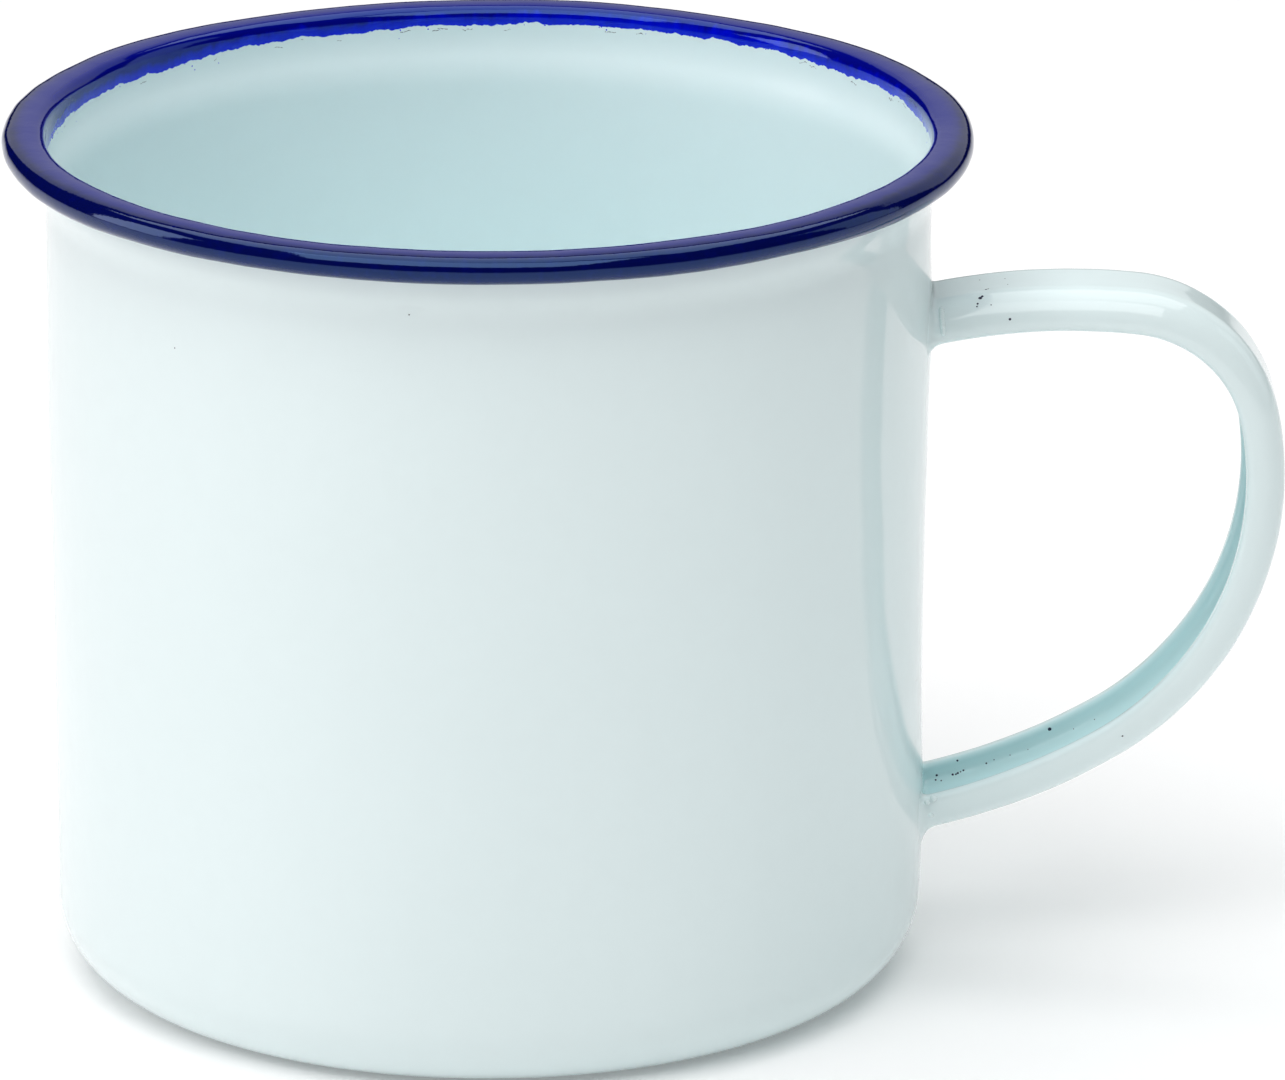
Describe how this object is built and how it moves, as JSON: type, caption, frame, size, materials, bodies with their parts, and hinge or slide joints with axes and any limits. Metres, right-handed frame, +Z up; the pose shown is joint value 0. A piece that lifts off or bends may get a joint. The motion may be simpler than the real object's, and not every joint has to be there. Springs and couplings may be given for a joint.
{
  "type": "enamel mug",
  "caption": "Straight-sided enamelled steel mug with a rolled blue rim and a D-shaped channel-section strap handle welded to one side.",
  "frame": {"origin": "on the cup's axis, in the plane of the foot ring that the mug stands on", "axes": "+Z up along the cup's axis, +X towards the handle, +Y across the handle"},
  "size_m": [0.1159, 0.0874, 0.0789],
  "materials": {
    "steel": "pickled low-carbon enamelling steel, hidden under the enamel",
    "weld_metal": "weld metal, hidden under the enamel",
    "ground_coat": "blue-black fused glass ground coat, showing only as pin-sized specks",
    "white_enamel": "glossy white vitreous enamel with a faint cool cast",
    "blue_enamel": "glossy cobalt-blue vitreous enamel, brighter where it is thin"
  },
  "bodies": {
    "root": {"cup_shell": "steel", "handle_strap": "steel", "upper_weld_seam": "weld_metal", "lower_weld_seam": "weld_metal", "ground_coat_inside": "ground_coat", "ground_coat_outside": "ground_coat", "ground_coat_handle": "ground_coat", "white_enamel_inside": "white_enamel", "white_enamel_outside": "white_enamel", "white_enamel_handle": "white_enamel", "blue_rim_enamel": "blue_enamel", "upper_joint_enamel": "white_enamel", "lower_joint_enamel": "white_enamel"}
  },
  "joints": []
}
